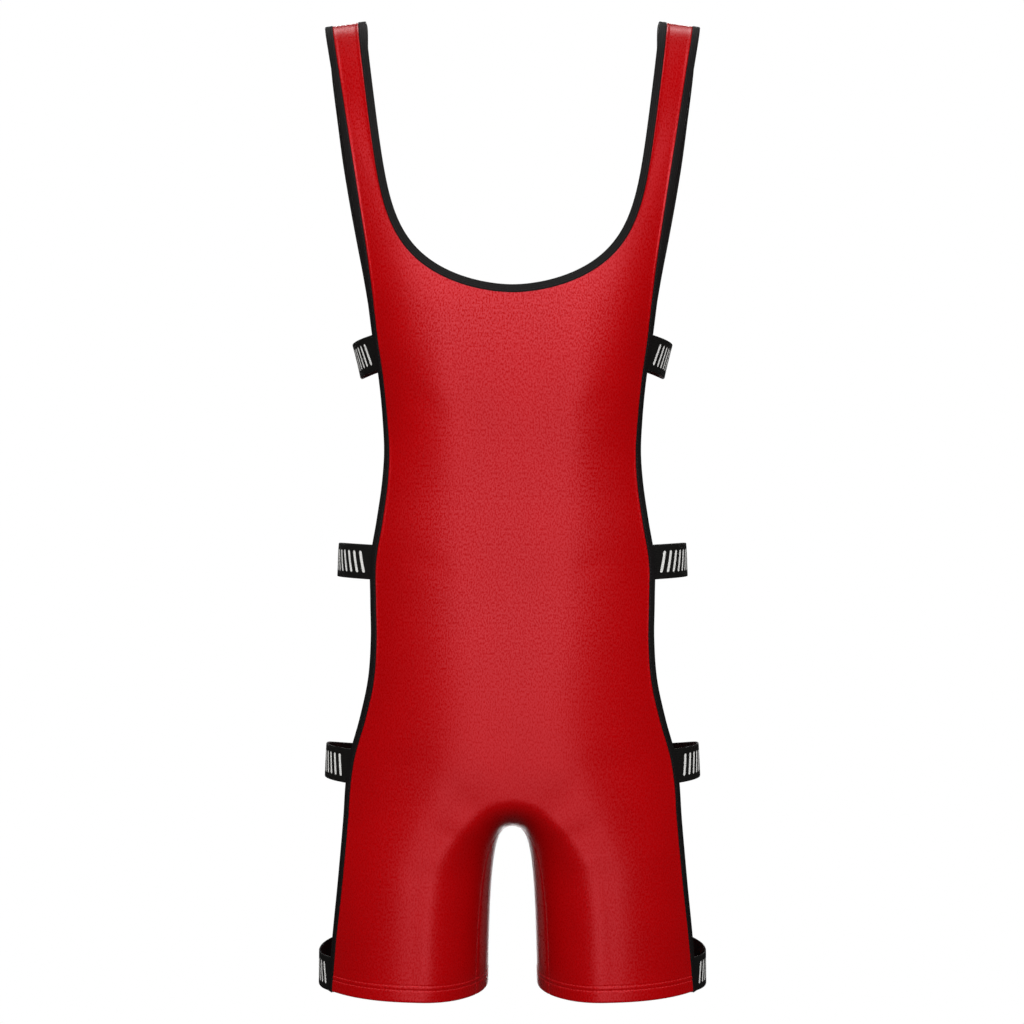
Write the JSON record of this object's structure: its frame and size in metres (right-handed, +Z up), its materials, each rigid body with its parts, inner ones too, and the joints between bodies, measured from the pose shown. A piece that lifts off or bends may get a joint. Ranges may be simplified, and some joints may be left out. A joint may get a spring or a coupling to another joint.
{
  "type": "training singlet",
  "caption": "Training singlet with open sides, a scoop neck and short legs, bound at its edges and held round the sides by elastic bands, filled out as if worn.",
  "frame": {"origin": "middle of the shoulder line, where a wearer carries the straps", "axes": "+X to the right seen from the front, -Y to the front, +Z up"},
  "size_m": [0.3468, 0.2199, 0.8624],
  "materials": {
    "cloth": "smooth stretch knit with a soft sheen",
    "binding": "matt folded elastic",
    "band": "matt woven elastic"
  },
  "bodies": {
    "root": {"front_panel": "cloth", "back_panel": "cloth", "crotch_gusset": "cloth", "neck_binding": "binding", "side_binding_left": "binding", "side_binding_right": "binding", "band_1_left": "band", "band_1_right": "band", "band_2_left": "band", "band_2_right": "band", "band_3_left": "band", "band_3_right": "band", "band_4_left": "band", "band_4_right": "band"}
  },
  "joints": []
}
